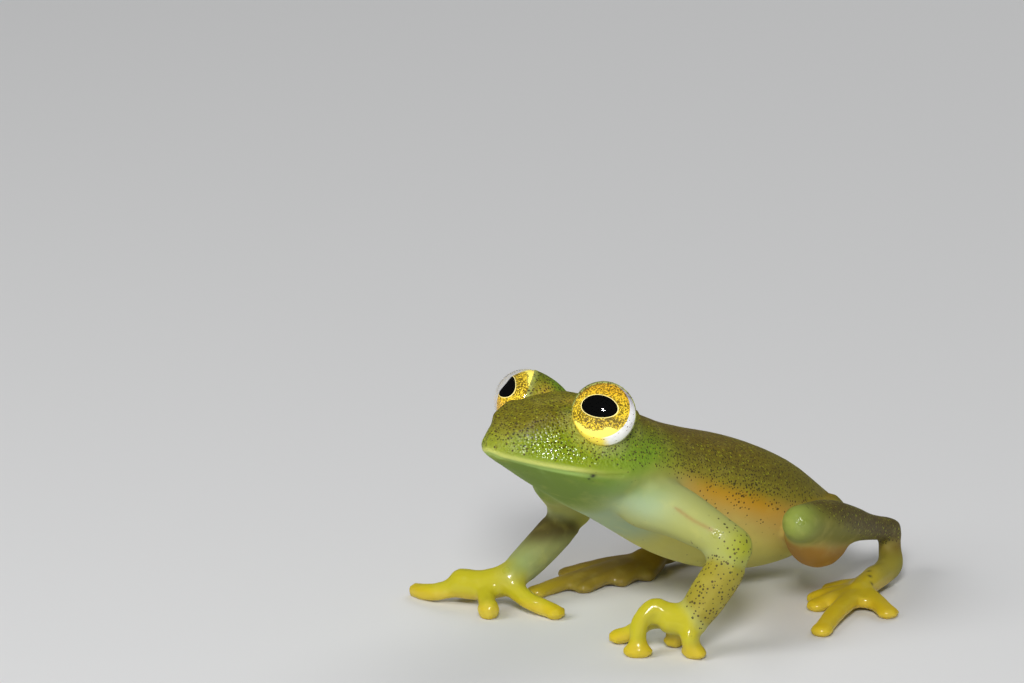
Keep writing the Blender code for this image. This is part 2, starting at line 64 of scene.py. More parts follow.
# %% Set the camera
CAMERA_AZIMUTH = math.radians(47)
CAMERA_ELEVATION = math.radians(14)
CAMERA_DISTANCE = 0.35
CAMERA_TARGET = Vector((-0.004781, -0.006990, 0.014414))
LENS_LENGTH = 237.3
SENSOR_WIDTH = 36
NEAREST_SEEN = 0.01

toward_camera = Vector((
    math.sin(CAMERA_AZIMUTH) * math.cos(CAMERA_ELEVATION),
    -math.cos(CAMERA_AZIMUTH) * math.cos(CAMERA_ELEVATION),
    math.sin(CAMERA_ELEVATION),
))
picture_right = Vector((math.cos(CAMERA_AZIMUTH), math.sin(CAMERA_AZIMUTH), 0))
picture_up = toward_camera.cross(picture_right)
camera = bpy.data.objects.new("camera", bpy.data.cameras.new("camera"))
camera.data.lens = LENS_LENGTH
camera.data.sensor_width = SENSOR_WIDTH
camera.data.clip_start = NEAREST_SEEN
camera.location = CAMERA_TARGET + CAMERA_DISTANCE * toward_camera
camera.rotation_euler = (-toward_camera).to_track_quat("-Z", "Y").to_euler()
bpy.context.scene.collection.objects.link(camera)
bpy.context.scene.camera = camera
print("camera at", [round(value, 4) for value in camera.location])

# %% [markdown]
# ## Floor and light
# A pale plain floor shows the frog's outline all round. Real wet skin is judged by its highlights,
# so one small soft box stands where a flash would, just above the lens, and gives each wet bump its
# own point of light. It is an area light, because its shape shows in the reflections and a point
# lamp's would not. Two wide soft boxes and a dim pale sky fill the shadows. The boxes are kept out of
# the reflections, where they would lay a grey haze over the green.

# %% Make the floor and the lights
FLOOR_RADIUS = 0.9
SKY_COLOUR = (0.94, 0.97, 1.0, 1)
SKY_STRENGTH = 0.12


def linked_piece(name, shape):
    mesh = bpy.data.meshes.new(name)
    shape.to_mesh(mesh)
    shape.free()
    piece = bpy.data.objects.new(name, mesh)
    bpy.context.scene.collection.objects.link(piece)
    return piece


def soft_box(name, direction, distance, size, watts):
    """An area light that faces the frog from a direction, with its distance and size in metres."""
    light = bpy.data.lights.new(name, "AREA")
    light.shape = "DISK"
    light.size = size
    light.energy = watts
    lamp = bpy.data.objects.new(name, light)
    toward = Vector(direction).normalized()
    lamp.location = CAMERA_TARGET + distance * toward
    lamp.rotation_euler = toward.to_track_quat("Z", "Y").to_euler()
    bpy.context.scene.collection.objects.link(lamp)
    return lamp


floor_shape = bmesh.new()
bmesh.ops.create_circle(floor_shape, cap_ends=True, segments=96, radius=FLOOR_RADIUS)
floor = linked_piece("floor", floor_shape)

from_above_lens = toward_camera + 0.28 * picture_up - 0.02 * picture_right
from_the_left = toward_camera + 0.9 * picture_up - 1.3 * picture_right
from_behind = -toward_camera + 1.6 * picture_up + 0.9 * picture_right
soft_box("flash", from_above_lens, distance=0.36, size=0.08, watts=0.78)
side_fill = soft_box("window", from_the_left, distance=0.45, size=0.30, watts=0.90)
back_fill = soft_box("back_fill", from_behind, distance=0.5, size=0.35, watts=0.65)
for fill in (side_fill, back_fill):
    fill.visible_glossy = False
sky = bpy.data.worlds.new("sky")
sky.use_nodes = True
background = sky.node_tree.nodes["Background"].inputs
background["Color"].default_value = SKY_COLOUR
background["Strength"].default_value = SKY_STRENGTH
bpy.context.scene.world = sky
bpy.context.scene.view_settings.view_transform = "Standard"
print("floor and", len(bpy.data.lights), "lights")

# %% [markdown]
# ## One skin over all the parts
# The solids stop a hair short of each other at every joint, but a frog has one skin. The merged
# copies of the flesh solids are swollen until they overlap, turned into one closed surface on a fine
# grid of voxels, and shrunk back by the same amount. Swelling and shrinking closes the thin joint
# gaps and leaves every other surface where it was. Ring-shaped lids go in with them. On the real
# frog the lid is a thin collar that covers the inner side of the eyeball and leaves the outer side
# bare, so its opening faces outwards from the head, further than the eye looks. The left eyeball is
# slid a tenth of a millimetre from the middle of its solid, to where the photograph shows it.

# %% Name the flesh and the eyes
FLESH = [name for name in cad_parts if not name.startswith("eye")]
SWELL = 0.17
EYE_RADIUS = 1.635
LID_RADIUS = 1.64
LID_THICKNESS = 0.10
LID_ANGLES = range(84, 165, 9)
EYE_SLIDE = {"left": Vector((-0.068, -0.073, 0)), "right": Vector((0, 0, 0))}
GAZE = {"left": Vector((0.463, -0.699, 0.544)), "right": Vector((-0.40, -0.66, 0.635))}
OPENING = {"left": Vector((0.758, -0.638, 0.123)), "right": Vector((-0.678, -0.638, 0.361))}


def eye_centre(side):
    low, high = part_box("eye_" + side)
    return (low + high) / 2 / MM + EYE_SLIDE[side]


def facing(direction):
    """A turn that takes +Z to a direction."""
    return direction.normalized().to_track_quat("Z", "Y").to_matrix().to_4x4()


print(len(FLESH), "flesh solids")
for side in GAZE:
    print(side, "eye at", [round(value, 2) for value in eye_centre(side)], "mm")

# %% Gather the solids and the lids, swollen, in one mesh
WELD_REACH = 0.000001


def merged_copy(node):
    shape = bmesh.new()
    shape.from_mesh(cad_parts[node].data)
    bmesh.ops.remove_doubles(shape, verts=shape.verts, dist=WELD_REACH)
    bmesh.ops.scale(shape, vec=(1 / MM,) * 3, verts=shape.verts)
    return shape


def lid(side):
    """A thin ring of skin round the back of the eyeball, spun from its section."""
    shape = bmesh.new()
    angles = [math.radians(degrees) for degrees in LID_ANGLES]
    section = [(LID_RADIUS, angle) for angle in angles]
    section += [(LID_RADIUS + LID_THICKNESS, angle) for angle in reversed(angles)]
    verts = [shape.verts.new((r * math.sin(a), 0, r * math.cos(a))) for r, a in section]
    edges = [shape.edges.new((verts[i - 1], verts[i])) for i in range(len(verts))]
    bmesh.ops.spin(
        shape, geom=verts + edges, cent=(0, 0, 0), axis=(0, 0, 1),
        angle=math.tau, steps=64, use_merge=True,
    )
    bmesh.ops.recalc_face_normals(shape, faces=shape.faces)
    turn = Matrix.Translation(eye_centre(side)) @ facing(OPENING[side])
    bmesh.ops.transform(shape, matrix=turn, verts=shape.verts)
    return shape


def swell(shape, amount):
    shape.normal_update()
    steps = [vert.normal * amount for vert in shape.verts]
    for vert, step in zip(shape.verts, steps):
        vert.co += step


def gathered(shapes):
    """One mesh of many loose closed shapes."""
    whole = bmesh.new()
    for shape in shapes:
        part = bpy.data.meshes.new("part")
        shape.to_mesh(part)
        shape.free()
        whole.from_mesh(part)
        bpy.data.meshes.remove(part)
    mesh = bpy.data.meshes.new("skin")
    whole.to_mesh(mesh)
    whole.free()
    return mesh


solids = {node: merged_copy(node) for node in FLESH}
nearest_part = {node: BVHTree.FromBMesh(shape) for node, shape in solids.items()}
swollen = list(solids.values()) + [lid(side) for side in GAZE]
for shape in swollen:
    swell(shape, SWELL)
skin = bpy.data.objects.new("skin", gathered(swollen))
bpy.context.scene.collection.objects.link(skin)
print("gathered", len(skin.data.vertices), "points")

# %% Turn them into one closed surface
VOXEL = 0.12


def applied(piece):
    """The piece's mesh with its modifiers worked in."""
    depsgraph = bpy.context.evaluated_depsgraph_get()
    mesh = bpy.data.meshes.new_from_object(piece.evaluated_get(depsgraph))
    piece.modifiers.clear()
    old = piece.data
    piece.data = mesh
    bpy.data.meshes.remove(old)
    return mesh


remesh = skin.modifiers.new("closed", "REMESH")
remesh.mode = "VOXEL"
remesh.voxel_size = VOXEL
applied(skin)
print("closed skin has", len(skin.data.vertices), "points")

# %% [markdown]
# ## Smoothing without shrinking
# Plain smoothing eats thin toes. Here each round pulls every point toward the mean of its
# neighbours and then pushes it back a touch further, which removes the facets of the solids and
# keeps the volume. The share says how much of the smoothing each point takes, so the joints, where
# two solids met, can be smoothed more than the rest. With no push it is plain smoothing, which fills
# the creases of the armpits and rounds the facets of the limbs.

# %% Smooth the skin and shrink it back
def read_points(mesh):
    points = np.empty(len(mesh.vertices) * 3)
    mesh.vertices.foreach_get("co", points)
    return points.reshape(-1, 3)


def read_edges(mesh):
    edges = np.empty(len(mesh.edges) * 2, dtype=np.int64)
    mesh.edges.foreach_get("vertices", edges)
    return edges.reshape(-1, 2)


def read_normals(mesh):
    normals = np.empty(len(mesh.vertices) * 3)
    mesh.vertex_normals.foreach_get("vector", normals)
    return normals.reshape(-1, 3)


def write_points(mesh, points):
    mesh.vertices.foreach_set("co", points.ravel())
    mesh.update()


def neighbour_mean(values, edges, count):
    """For each point, the mean of a value over the points that share an edge with it."""
    total = np.stack([
        np.bincount(edges[:, 0], values[edges[:, 1], k], count)
        + np.bincount(edges[:, 1], values[edges[:, 0], k], count)
        for k in range(values.shape[1])
    ], axis=1)
    return total / np.maximum(np.bincount(edges.ravel(), minlength=count), 1)[:, None]


def relaxed(points, edges, rounds, share=1.0, push=-0.52):
    """The points after some rounds of a pull to their neighbours' mean and a push back from it."""
    share = np.broadcast_to(share, (len(points),))[:, None]
    for _ in range(rounds):
        for pull in (0.5, push):
            points = points + pull * share * (neighbour_mean(points, edges, len(points)) - points)
    return points


def blurred(values, edges, rounds):
    """A mask spread softly over the surface."""
    values = np.asarray(values, dtype=float).reshape(-1, 1)
    for _ in range(rounds):
        values = 0.5 * values + 0.5 * neighbour_mean(values, edges, len(values))
    return values[:, 0]


points = read_points(skin.data)
edges = read_edges(skin.data)
points = relaxed(points, edges, rounds=4)
write_points(skin.data, points)
points = points - SWELL * read_normals(skin.data)
points = relaxed(points, edges, rounds=10)
write_points(skin.data, points)
print("skin spans", np.round(np.ptp(points, axis=0), 2), "mm")

# %% Find which part each point belongs to
SEARCH_REACH = 4
FAR_AWAY = 9.0
JOINT_REACH = 0.42
ARMPIT = {"centre": (3.3, -6.4, 6.6), "size": (1.6, 1.6, 1.2)}
LIMBS = ("upper", "thigh", "shank", "tarsus")


def part_distances(points):
    """The distance from every point to each flesh solid, as one column a solid."""
    columns = []
    for node in FLESH:
        find = nearest_part[node].find_nearest
        columns.append([find(Vector(point), SEARCH_REACH)[3] or FAR_AWAY for point in points])
    return np.array(columns, dtype=float).T


def patch(points, centre, size):
    """A soft blot round a point, with its own size along each direction."""
    away = (points - np.asarray(centre)) / np.asarray(size)
    return np.exp(-(away ** 2).sum(axis=1))


def folded(points):
    """Both sides of the body laid over each other, so that one place serves for two."""
    return np.abs(points) * (1, 0, 1) + points * (0, 1, 0)


reach = part_distances(points)
second_nearest = np.sort(reach, axis=1)[:, 1]
joint = blurred(second_nearest < JOINT_REACH, edges, rounds=4)
points = relaxed(points, edges, rounds=40, share=joint)
armpit = patch(folded(points), **ARMPIT)
points = relaxed(points, edges, rounds=40, share=armpit, push=0)
limb_places = [place for place, node in enumerate(FLESH) if node.startswith(LIMBS)]
limbs = blurred(np.isin(reach.argmin(axis=1), limb_places), edges, rounds=4)
points = relaxed(points, edges, rounds=24, share=limbs, push=0)
write_points(skin.data, points)
print("joints cover", round(float(joint.mean()) * 100), "% of the skin")
skin.data.shade_smooth()

# %% [markdown]
# ## Fine edges need fine points
# The voxel grid has a point every eighth of a millimetre, which is enough for a belly but not for
# the edge of a lid or the line of the mouth. Only the edges near those lines are cut in two, so the
# skin stays light everywhere else. The mouth follows one side's line and is mirrored.

# %% Cut the skin finer along the mouth and the lids
MOUTH = (
    (0.15, -13.06, 10.39), (0.80, -12.80, 10.20), (1.37, -12.26, 10.03), (2.07, -11.51, 9.81),
    (2.79, -10.61, 9.58), (3.32, -9.79, 9.42), (3.77, -8.91, 9.25), (4.15, -7.60, 9.10),
)
NOSTRILS = ((-0.36, -12.92, 10.82), (0.36, -12.92, 10.82))
HEAD_BACK = -5.0
FINE_REACH = {"mouth": 0.42, "lid": 0.55, "nostril": 0.4}
LID_BACK_COSINE = -0.35


def smooth_line(corners, spacing=0.08, rounds=12):
    """Points spaced evenly along straight runs between corners, then eased so that no corner shows."""
    corners = np.array(corners)
    steps = np.linalg.norm(np.diff(corners, axis=0), axis=1)
    along = np.concatenate([[0], np.cumsum(steps)])
    wanted = np.linspace(0, along[-1], int(along[-1] / spacing) + 2)
    line = np.stack([np.interp(wanted, along, corners[:, k]) for k in range(3)], axis=1)
    for _ in range(rounds):
        line[1:-1] = 0.5 * line[1:-1] + 0.25 * (line[:-2] + line[2:])
    return line


def both_sides(line):
    line = np.asarray(line, dtype=float)
    return np.concatenate([line, line * (-1, 1, 1)])


def nearest_on(line, points):
    """For each point, its distance to the nearest point of a line, and that point's index."""
    gaps = np.linalg.norm(points[:, None, :] - line[None, :, :], axis=2)
    return gaps.min(axis=1), gaps.argmin(axis=1)


def from_mouth(points, chosen):
    """For each chosen point: how far it is from the line of the mouth, and how high above it."""
    gap = np.full(len(points), FAR_AWAY)
    above = np.zeros(len(points))
    gap[chosen], place = nearest_on(mouth, points[chosen])
    above[chosen] = points[chosen, 2] - mouth[place, 2]
    return gap, above


def from_eye(side, points):
    """For each point: its way out from the eye, how far, and its angle's cosine off the lid's axis."""
    out = points - np.array(eye_centre(side))
    far = np.linalg.norm(out, axis=1)
    return out, far, out @ np.array(OPENING[side].normalized()) / far


mouth = both_sides(smooth_line(MOUTH))
to_mouth = from_mouth(points, points[:, 1] < HEAD_BACK)[0]
fine = to_mouth < FINE_REACH["mouth"]
for side in GAZE:
    far, cosine = from_eye(side, points)[1:]
    fine |= (far < EYE_RADIUS + FINE_REACH["lid"]) & (cosine > LID_BACK_COSINE)
for nostril in NOSTRILS:
    fine |= np.linalg.norm(points - np.array(nostril), axis=1) < FINE_REACH["nostril"]
shape = bmesh.new()
shape.from_mesh(skin.data)
shape.verts.ensure_lookup_table()
cut = [edge for edge in shape.edges if fine[edge.verts[0].index] and fine[edge.verts[1].index]]
bmesh.ops.subdivide_edges(shape, edges=cut, cuts=1, use_grid_fill=True)
bmesh.ops.triangulate(shape, faces=[face for face in shape.faces if len(face.verts) > 4])
shape.to_mesh(skin.data)
shape.free()
points = read_points(skin.data)
edges = read_edges(skin.data)
print("cut", len(cut), "edges,", len(points), "points now")

# %% [markdown]
# ## Lids, mouth and nostrils
# The lids must touch the wet eyeball all round, so every point of the socket is drawn in until it
# lies on the ball. The mouth is a shallow groove with a soft upper lip standing over it. Both are
# made by moving points along their normals by a smooth bell curve of their distance to a line,
# which is what a sculptor's crease brush does. Behind its edge each lid is held under a cap, which
# starts close to the ball and widens toward the back, so that the orbit stays slim beside the eye.

# %% Draw the sockets onto the eyeballs
def bell(distance, width):
    return np.exp(-(distance / width) ** 2)


SEAT = 0.03
LID_CAP = {"edge": 0.035, "growth": 0.60, "from": 92, "span": 58, "to": 150, "reach": 0.75}


def around_eye(side, points):
    """As from_eye, with the angle off the lid's axis in degrees."""
    out, far, cosine = from_eye(side, points)
    return out, far, np.degrees(np.arccos(np.clip(cosine, -1, 1)))


for side in GAZE:
    out, far, turn = around_eye(side, points)
    widening = np.clip((turn - LID_CAP["from"]) / LID_CAP["span"], 0, 1) ** 2
    cap = EYE_RADIUS + LID_CAP["edge"] + LID_CAP["growth"] * widening
    capped = (turn < LID_CAP["to"]) & (far < EYE_RADIUS + LID_CAP["reach"])
    wanted = np.where(capped, np.minimum(far, cap), far)
    wanted = np.where(far < EYE_RADIUS + SEAT, EYE_RADIUS - SEAT, wanted)
    points += out * (wanted / far - 1)[:, None]
    print(side, "lid: drew in", int((wanted < far).sum()), "points")
write_points(skin.data, points)

# %% Press in the mouth and the nostrils and raise the lip
RIDGE = ((1.34, -10.2, 12.2), (1.28, -10.8, 12.1), (1.20, -11.3, 11.9))
RIDGE_LIFT = {"amount": 0.24, "width": 0.38}
SNOUT_DIP = {"centre": (0, -12.5, 11.55), "amount": -0.13, "width": 0.62}
LIP = {"above": 0.20, "amount": 0.03, "width": 0.13, "reach": 0.6}
MOUTH_GROOVE = {"amount": -0.06, "width": 0.07}
NOSTRIL_RIM = {"amount": 0.05, "width": 0.20}
NOSTRIL_HOLE = {"amount": -0.13, "width": 0.075}
NOSTRIL_SHAPE = (1, 1, 0.7)


def lift(points, amount):
    """Moves points along their own normals."""
    return points + amount[:, None] * read_normals(skin.data)


def raised(distance, form):
    """How much a form lifts each point, or presses it in, by the point's distance to it."""
    return form["amount"] * bell(distance, form["width"])


to_ridge = nearest_on(both_sides(smooth_line(RIDGE)), points)[0]
to_dip = np.linalg.norm(points - np.array(SNOUT_DIP["centre"]), axis=1)
points = lift(points, raised(to_ridge, RIDGE_LIFT) + raised(to_dip, SNOUT_DIP))
write_points(skin.data, points)
to_mouth, above = from_mouth(points, points[:, 1] < HEAD_BACK)
lip = raised(above - LIP["above"], LIP) * (to_mouth < LIP["reach"])
points = lift(points, lip + raised(to_mouth, MOUTH_GROOVE))
write_points(skin.data, points)
for nostril in NOSTRILS:
    away = np.linalg.norm((points - np.array(nostril)) * NOSTRIL_SHAPE, axis=1)
    points = lift(points, raised(away, NOSTRIL_RIM) + raised(away, NOSTRIL_HOLE))
    write_points(skin.data, points)
print("mouth and nostrils pressed in")

# %% [markdown]
# ## Fewer faces where the skin is plain
# The voxels spend as many faces on the smooth back as on the toes. Now that the shape is done, the
# Decimate modifier joins points where that changes the surface least, so the back and belly pay for
# the fine lids and mouth. It comes before the colours, because each colour is laid on a point.

# %% Thin the skin
MOST_TRIANGLES = 190000


def triangle_count(mesh):
    return sum(len(face.vertices) - 2 for face in mesh.polygons)


before = triangle_count(skin.data)
thinning = skin.modifiers.new("thinned", "DECIMATE")
thinning.ratio = MOST_TRIANGLES / before
applied(skin)
skin.data.shade_smooth()
points = read_points(skin.data)
edges = read_edges(skin.data)
print("thinned", before, "triangles to", triangle_count(skin.data))

# %% [markdown]
# ## A small language for materials
# A material is a graph of nodes. Written node by node it hides its own sums, so one class wraps a
# socket and lets values be added and multiplied as numbers are. Every other kind of node comes from
# one method, which takes the kind, its settings and its sockets.

# %% Wrap sockets as values
class Value:
    """A number or colour that varies over a surface. Sums of values add their own Math nodes."""

    def __init__(self, finish, socket):
        self.finish = finish
        self.socket = socket

    def math(self, operation, first, second):
        return self.finish.node("ShaderNodeMath", {"operation": operation}, {0: first, 1: second})

    def __add__(self, other):
        return self.math("ADD", self, other)

    def __radd__(self, other):
        return self.math("ADD", other, self)

    def __sub__(self, other):
        return self.math("SUBTRACT", self, other)

    def __rsub__(self, other):
        return self.math("SUBTRACT", other, self)

    def __mul__(self, other):
        return self.math("MULTIPLY", self, other)

    def __rmul__(self, other):
        return self.math("MULTIPLY", other, self)

    def __pow__(self, other):
        return self.math("POWER", self, other)

    def __abs__(self):
        return self.math("ABSOLUTE", self, 0.0)


class Finish:
    """A material under construction."""

    def __init__(self, name):
        self.material = bpy.data.materials.new(name)
        self.material.use_nodes = True
        self.tree = self.material.node_tree
        self.tree.nodes.clear()

    def node(self, kind, settings=None, sockets=None, output=0):
        made = self.tree.nodes.new(kind)
        for name, value in (settings or {}).items():
            setattr(made, name, value)
        for name, value in (sockets or {}).items():
            if isinstance(value, Value):
                self.tree.links.new(value.socket, made.inputs[name])
            else:
                made.inputs[name].default_value = value
        return Value(self, made.outputs[output])

    def mix(self, first, second, share):
        sockets = {0: share, 6: first, 7: second}
        return self.node("ShaderNodeMix", {"data_type": "RGBA"}, sockets, output=2)

    def larger(self, first, second):
        return self.node("ShaderNodeMath", {"operation": "MAXIMUM"}, {0: first, 1: second})

    def rise(self, value, low, high):
        """0 below low, 1 above high, and a soft step between."""
        settings = {"interpolation_type": "SMOOTHSTEP"}
        sockets = {"Value": value, "From Min": low, "From Max": high}
        return self.node("ShaderNodeMapRange", settings, sockets)

    def noise(self, place, scale, detail=2.0, roughness=0.5):
        sockets = {"Vector": place, "Scale": scale, "Detail": detail, "Roughness": roughness}
        return self.node("ShaderNodeTexNoise", {}, sockets)

    def attribute(self, name, output=2):
        return self.node("ShaderNodeAttribute", {"attribute_name": name}, output=output)

    def surface(self, shader):
        made = self.tree.nodes.new("ShaderNodeOutputMaterial")
        self.tree.links.new(shader.socket, made.inputs["Surface"])
        return self.material


def shade(red, green, blue):
    """A colour as it looks on a screen, turned into the light it stands for."""
    return tuple(
        value / 12.92 if value < 0.04045 else ((value + 0.055) / 1.055) ** 2.4
        for value in (red, green, blue)
    ) + (1.0,)


print("materials can be written as sums")

# %% [markdown]
# ## Eyes
# A frog's eye is a wet clear window over a domed iris, with the pupil as a true hole in it. Painting
# it on a plain ball would lose the depth that shows from the side. Each eyeball is drawn out ring by
# ring from the edge of the pupil: outwards over the iris, round the white to the back, and inwards
# into the dark. A slightly larger clear ball over it carries the shine.

# %% Model the eyeballs
IRIS_EDGE_ANGLE = math.radians(66)
BALL_RADIUS = EYE_RADIUS - 0.005
IRIS_APEX = 1.40
PUPIL_HALF_WIDTH = 0.955
PUPIL_HALF_HEIGHT = 0.595
PUPIL_LINE = {"left": Vector((0.701, 0.697, -0.27)), "right": Vector((-0.701, 0.697, -0.152))}
PUPIL_WALL = ((0.97, 0.06), (0.93, 0.25), (0.6, 0.45))
IRIS_EDGE = BALL_RADIUS * math.sin(IRIS_EDGE_ANGLE)
IRIS_FOOT = BALL_RADIUS * math.cos(IRIS_EDGE_ANGLE)
IRIS_RINGS = 20
RING_POINTS = 144
WHITE_ANGLES = range(70, 176, 7)
IRIS_SLOT, WHITE_SLOT, PUPIL_SLOT = range(3)


def eye_turn(side):
    """The eye's own directions: x along the pupil toward the back of the head, z along the gaze."""
    ahead = GAZE[side].normalized()
    along = (PUPIL_LINE[side] - PUPIL_LINE[side].dot(ahead) * ahead).normalized()
    return Matrix((along, ahead.cross(along), ahead)).transposed().to_4x4()


def iris_height(radius):
    return IRIS_APEX - (IRIS_APEX - IRIS_FOOT) * (radius / IRIS_EDGE) ** 2


def level(degrees):
    """The height of a ring of the white at an angle off the gaze, the same all round."""
    depth = BALL_RADIUS * math.cos(math.radians(degrees))
    return lambda radius: depth


def wall_height(shrink, sink):
    """The height of the dark wall behind the pupil: the iris's own height at its edge, let down."""
    return lambda radius: iris_height(radius / shrink) - sink


def next_ring(shape, ring, half_width, half_height, height, slot):
    """Draws a ring of edges out into a new ring with its own half sizes, and returns that ring."""
    made = bmesh.ops.extrude_edge_only(shape, edges=ring["edges"])["geom"]
    verts = [item for item in made if isinstance(item, bmesh.types.BMVert)]
    for vert in verts:
        vert.co.x *= half_width / ring["half_width"]
        vert.co.y *= half_height / ring["half_height"]
        vert.co.z = height(math.hypot(vert.co.x, vert.co.y))
    for item in made:
        if isinstance(item, bmesh.types.BMFace):
            item.material_index = slot
    outer = set(verts)
    edges = [item for item in made if isinstance(item, bmesh.types.BMEdge)]
    edges = [edge for edge in edges if set(edge.verts) <= outer]
    return {"edges": edges, "half_width": half_width, "half_height": half_height}


def close_ring(shape, ring, slot):
    made = bmesh.ops.contextual_create(shape, geom=ring["edges"])
    for face in made["faces"]:
        face.material_index = slot


def placed_piece(name, shape, side, materials):
    """Turns an eye's shape to its place and makes it a smooth piece in metres."""
    bmesh.ops.recalc_face_normals(shape, faces=shape.faces)
    for face in shape.faces:
        face.smooth = True
    place = Matrix.Translation(eye_centre(side)) @ eye_turn(side)
    bmesh.ops.transform(shape, matrix=Matrix.Scale(MM, 4) @ place, verts=shape.verts)
    piece = linked_piece(name, shape)
    for material in materials:
        piece.data.materials.append(material)
    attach(piece, "root")
    return piece


def eyeball_shape():
    """Drawn out ring by ring from the edge of the pupil, which is a ring of half sizes of its own."""
    shape = bmesh.new()
    bmesh.ops.create_circle(shape, segments=RING_POINTS, radius=1)
    for vert in shape.verts:
        vert.co.x *= PUPIL_HALF_WIDTH
        vert.co.y *= PUPIL_HALF_HEIGHT
        vert.co.z = iris_height(math.hypot(vert.co.x, vert.co.y))
    start = {"edges": list(shape.edges)}
    start["half_width"] = PUPIL_HALF_WIDTH
    start["half_height"] = PUPIL_HALF_HEIGHT
    ring = start
    for step in range(1, IRIS_RINGS + 1):
        share = step / IRIS_RINGS
        wide = PUPIL_HALF_WIDTH + share * (IRIS_EDGE - PUPIL_HALF_WIDTH)
        tall = PUPIL_HALF_HEIGHT + share * (IRIS_EDGE - PUPIL_HALF_HEIGHT)
        ring = next_ring(shape, ring, wide, tall, iris_height, IRIS_SLOT)
    for degrees in WHITE_ANGLES:
        size = BALL_RADIUS * math.sin(math.radians(degrees))
        ring = next_ring(shape, ring, size, size, level(degrees), WHITE_SLOT)
    close_ring(shape, ring, WHITE_SLOT)
    ring = start
    for shrink, sink in PUPIL_WALL:
        wide = PUPIL_HALF_WIDTH * shrink
        tall = PUPIL_HALF_HEIGHT * shrink
        ring = next_ring(shape, ring, wide, tall, wall_height(shrink, sink), PUPIL_SLOT)
    close_ring(shape, ring, PUPIL_SLOT)
    return shape


def window_shape():
    shape = bmesh.new()
    bmesh.ops.create_uvsphere(
        shape, u_segments=RING_POINTS, v_segments=RING_POINTS // 2, radius=EYE_RADIUS,
    )
    return shape


print("pupils of", 2 * PUPIL_HALF_WIDTH, "by", 2 * PUPIL_HALF_HEIGHT, "mm")

# %% [markdown]
# ## The finish of the eyes
# The iris is gold with a dense net of fine dark brown marks, browner above the pupil and clear yellow
# below it, with a thin pale ring at the pupil's edge. The marks are the contour lines of a fine noise,
# because a contour of noise wanders and closes on itself as the real marks do. The white is yellow
# beside the iris at the front and silvery at the back, with a few dark specks, and greyer toward the
# top, which is painted shade. Both glow a little in their own colour. The glow is painted light,
# standing in for the light that a real eye gathers inside and throws back.

# %% Make the eye materials
GOLD = shade(0.98, 0.84, 0.22)
DEEP_GOLD = shade(0.94, 0.74, 0.15)
CLEAR_YELLOW = shade(1.0, 0.93, 0.42)
IRIS_BROWN = shade(0.16, 0.09, 0.03)
PUPIL_RING = shade(1.0, 0.93, 0.60)
EYE_YELLOW = shade(1.0, 0.90, 0.36)
SILVER = shade(0.97, 0.97, 0.97)
SILVER_IN_PAINTED_SHADE = shade(0.74, 0.72, 0.76)
SPECK_BROWN = shade(0.16, 0.12, 0.08)
PUPIL_BLACK = (0.001, 0.001, 0.001, 1)
STRAIGHT_SHINE = 0.03


def eye_place(finish, side):
    """Object coordinates turned into the eye's own millimetres."""
    sockets = {
        "Vector": finish.node("ShaderNodeTexCoord", output=3),
        "Location": eye_centre(side) * MM,
        "Rotation": eye_turn(side).to_euler(),
        "Scale": (MM, MM, MM),
    }
    return finish.node("ShaderNodeMapping", {"vector_type": "TEXTURE"}, sockets)


def eye_axes(finish, place):
    """How far along the pupil a point lies and how far above its line."""
    return [finish.node("ShaderNodeSeparateXYZ", {}, {"Vector": place}, output=k) for k in range(2)]


def yellow_band(finish, place, x, y):
    """Above 0 in the freckled part of the iris, below 0 in the clear yellow under it."""
    jag = finish.noise(place, scale=3.4, detail=4.0, roughness=0.7)
    return y - 0.36 * abs(x + 0.1) + 0.55 * jag + 0.96


def iris_finish(side):
    finish = Finish("iris_" + side)
    place = eye_place(finish, side)
    x, y = eye_axes(finish, place)
    ring = ((x * (1 / PUPIL_HALF_WIDTH)) ** 2 + (y * (1 / PUPIL_HALF_HEIGHT)) ** 2) ** 0.5
    cloud = finish.noise(place, scale=2.0)
    blots = finish.noise(place, scale=10.0, detail=4.0, roughness=0.75)
    net = abs(finish.noise(place, scale=6.5, detail=3.0, roughness=0.6) - 0.5)
    band = yellow_band(finish, place, x, y)
    gold = finish.mix(GOLD, DEEP_GOLD, finish.rise(y + cloud, 0.6, 1.5))
    gold = finish.mix(CLEAR_YELLOW, gold, finish.rise(band, -0.05, 0.10))
    under = finish.rise(ring, 1.9, 1.25) * finish.rise(0 - y, 0.2, 0.6)
    marks = finish.rise(blots + 0.10 * cloud + 0.07 * under, 0.54, 0.58)
    veins = finish.rise(0.035 - net, 0.0, 0.02) * finish.rise(blots, 0.40, 0.50)
    freckled = finish.larger(marks, 0.9 * veins) * finish.rise(band, 0.0, 0.05)
    line = finish.rise(0.030 - abs(band), 0.0, 0.015) * finish.rise(cloud, 0.36, 0.44)
    colour = finish.mix(gold, IRIS_BROWN, 0.86 * finish.larger(freckled, line))
    colour = finish.mix(colour, PUPIL_RING, 1 - finish.rise(ring, 1.03, 1.07))
    shader = finish.node("ShaderNodeBsdfPrincipled", {}, {
        "Base Color": colour, "Roughness": 0.5, "Specular IOR Level": 0.2,
        # painted light: the iris glows a little in its own colour
        "Emission Color": colour, "Emission Strength": 0.34,
    })
    return finish.surface(shader)


